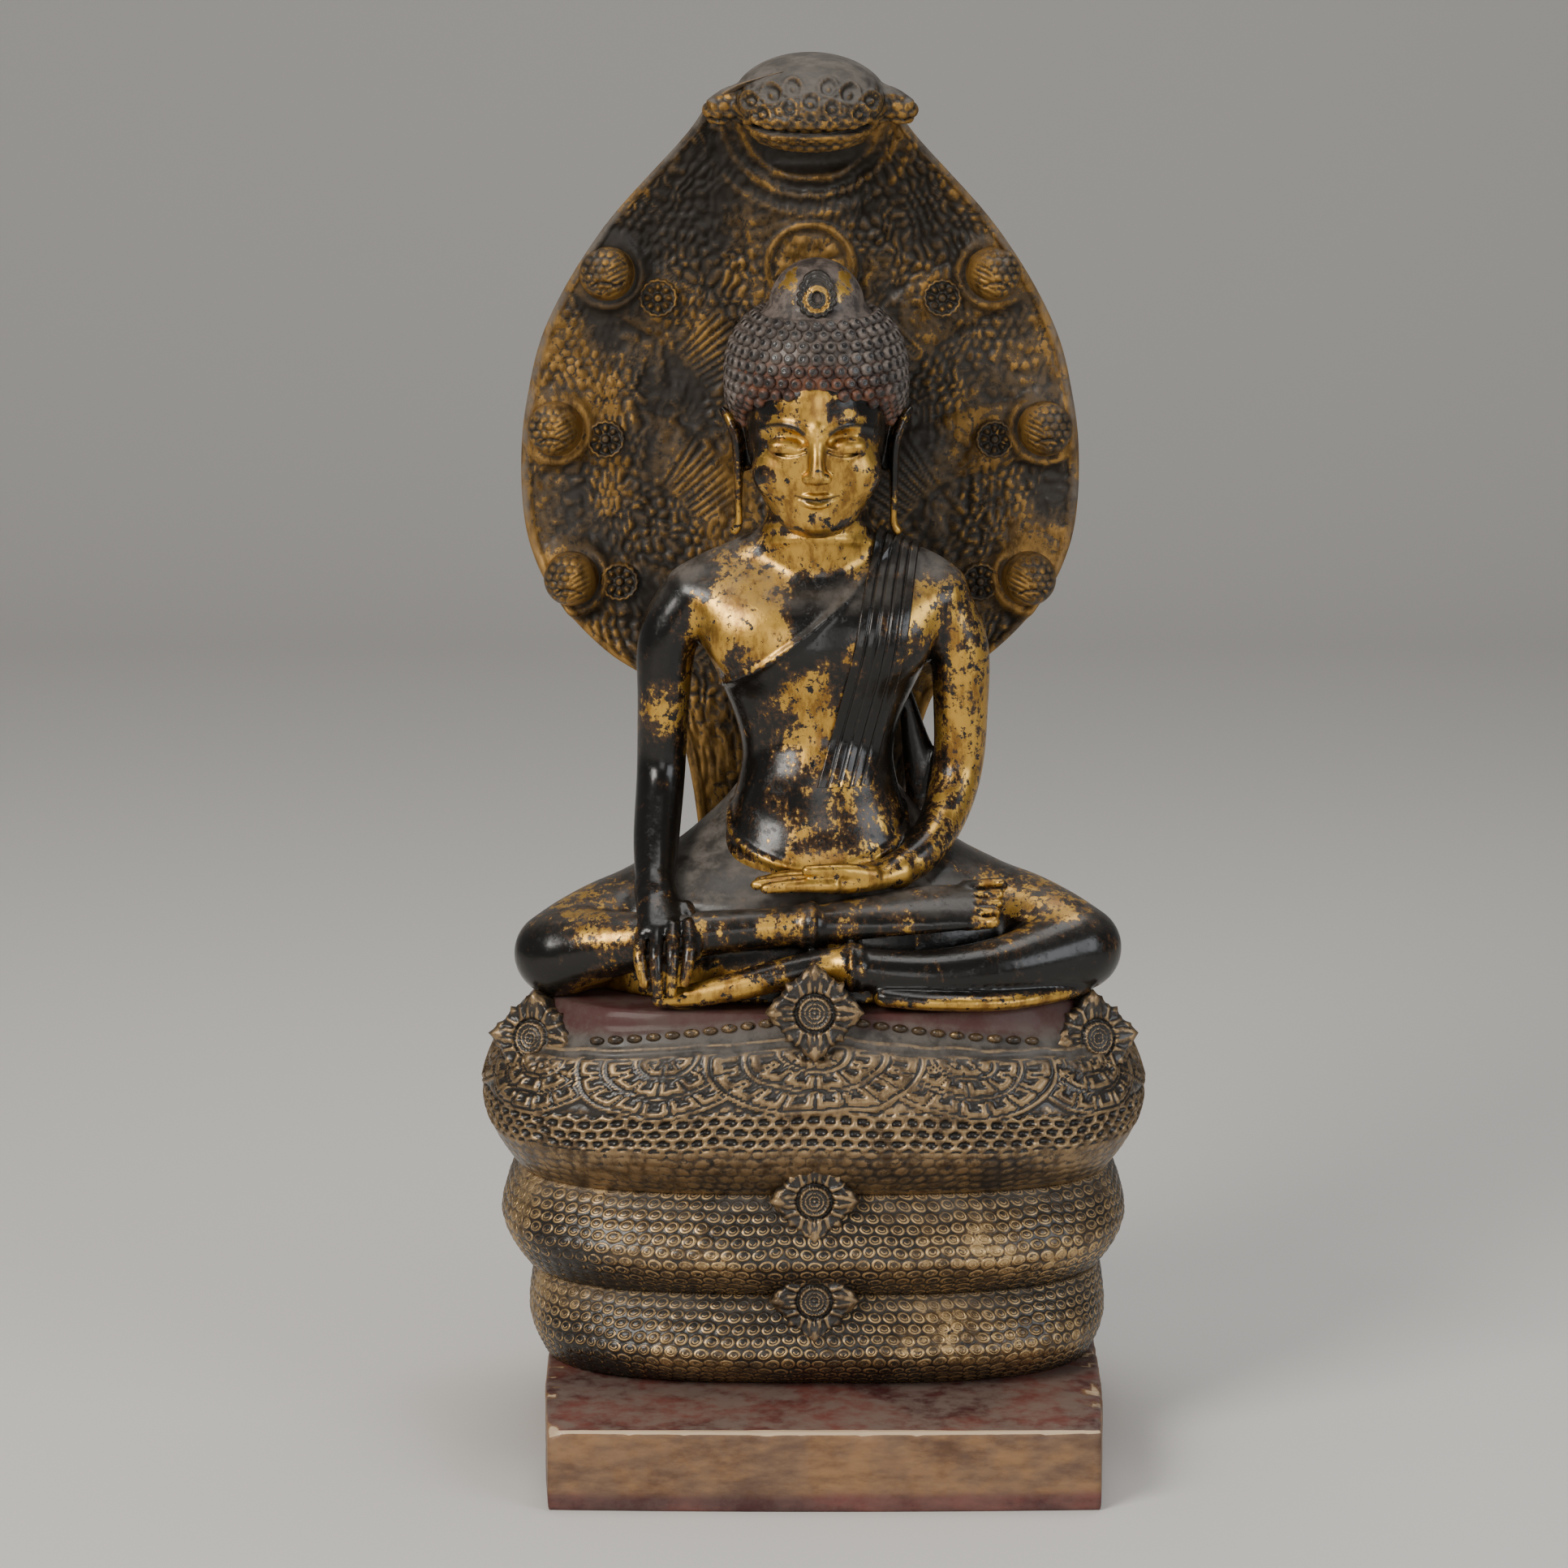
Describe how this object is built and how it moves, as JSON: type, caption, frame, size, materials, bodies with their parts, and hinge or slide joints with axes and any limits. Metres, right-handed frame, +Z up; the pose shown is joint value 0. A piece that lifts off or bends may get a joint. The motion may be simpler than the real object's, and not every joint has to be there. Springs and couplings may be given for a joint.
{
  "type": "naga buddha figure",
  "caption": "Seated figure in meditation on the stacked coils of a many-headed snake whose hood rises behind it, on a block plinth; stands on a shelf or altar.",
  "frame": {"origin": "middle of the plinth's underside", "axes": "+Z up, the figure faces -Y, +X to the right as seen from the front"},
  "size_m": [0.3528, 0.2834, 0.7416],
  "materials": {
    "plinth_lacquer": "worn red lacquer and gilding over wood, dusty on top",
    "coils_gilt": "dark lacquered wood with rubbed gold on the raised scales",
    "hood_gilt": "dark lacquered wood with worn gold leaf",
    "figure_lacquer": "glossy black lacquer with ragged remains of gold leaf"
  },
  "bodies": {
    "root": {"plinth": "plinth_lacquer", "naga_coils": "coils_gilt", "naga_hood": "hood_gilt", "buddha": "figure_lacquer"}
  },
  "joints": []
}
